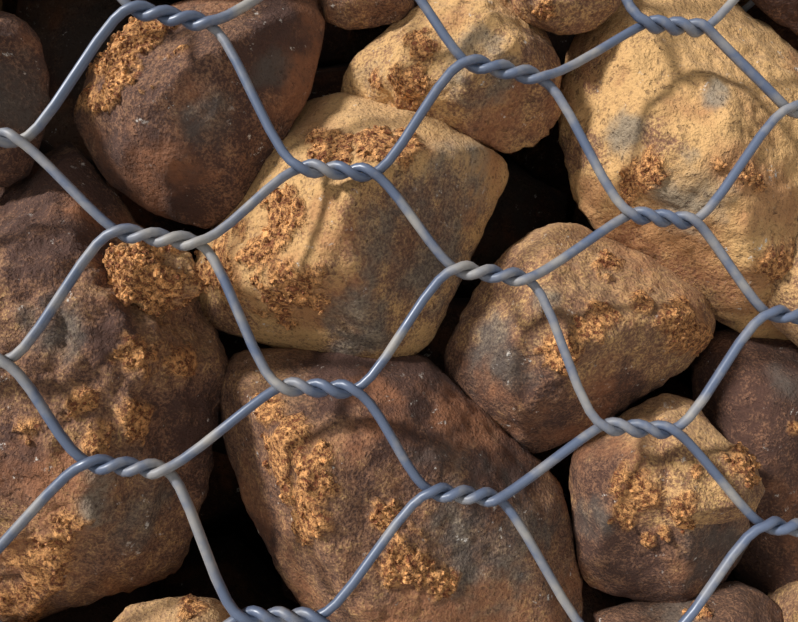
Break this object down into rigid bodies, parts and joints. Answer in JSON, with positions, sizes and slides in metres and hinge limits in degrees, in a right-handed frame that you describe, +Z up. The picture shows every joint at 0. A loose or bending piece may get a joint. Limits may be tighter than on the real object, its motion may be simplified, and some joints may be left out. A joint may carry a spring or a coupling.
{
  "type": "gabion wall",
  "caption": "Straight section of gabion retaining wall in whole bays: baskets of double-twisted hexagonal wire mesh with selvedge wires, a diaphragm, tie wires and angular rock fill.",
  "frame": {"origin": "on the ground under the middle of the wall", "axes": "+X along the wall, +Y from the front face to the back, +Z up"},
  "size_m": [2, 0.51, 1],
  "materials": {
    "coated_mesh_wire": "smooth grey-blue plastic coat over galvanised steel, slightly glossy",
    "coated_selvedge_wire": "smooth grey-blue plastic coat over galvanised steel, slightly glossy",
    "coated_tie_wire": "smooth grey-blue plastic coat over galvanised steel, slightly glossy",
    "rock_fill": "rough broken reddish-brown rock with ochre patches and crumbs of soil"
  },
  "bodies": {
    "root": {"front_mesh_left_bay": "coated_mesh_wire", "front_mesh_right_bay": "coated_mesh_wire", "back_mesh_left_bay": "coated_mesh_wire", "back_mesh_right_bay": "coated_mesh_wire", "lid_mesh": "coated_mesh_wire", "base_mesh": "coated_mesh_wire", "left_end_mesh": "coated_mesh_wire", "right_end_mesh": "coated_mesh_wire", "diaphragm_mesh": "coated_mesh_wire", "front_selvedges": "coated_selvedge_wire", "back_selvedges": "coated_selvedge_wire", "lid_selvedges": "coated_selvedge_wire", "base_selvedges": "coated_selvedge_wire", "left_end_selvedges": "coated_selvedge_wire", "right_end_selvedges": "coated_selvedge_wire", "diaphragm_selvedges": "coated_selvedge_wire", "stone_fill_left_lower": "rock_fill", "stone_fill_left_middle": "rock_fill", "stone_fill_left_upper": "rock_fill", "stone_fill_right_lower": "rock_fill", "stone_fill_right_middle": "rock_fill", "stone_fill_right_upper": "rock_fill", "tie_wires_left_lower": "coated_tie_wire", "tie_wires_left_middle": "coated_tie_wire", "tie_wires_right_lower": "coated_tie_wire", "tie_wires_right_middle": "coated_tie_wire"}
  },
  "joints": []
}
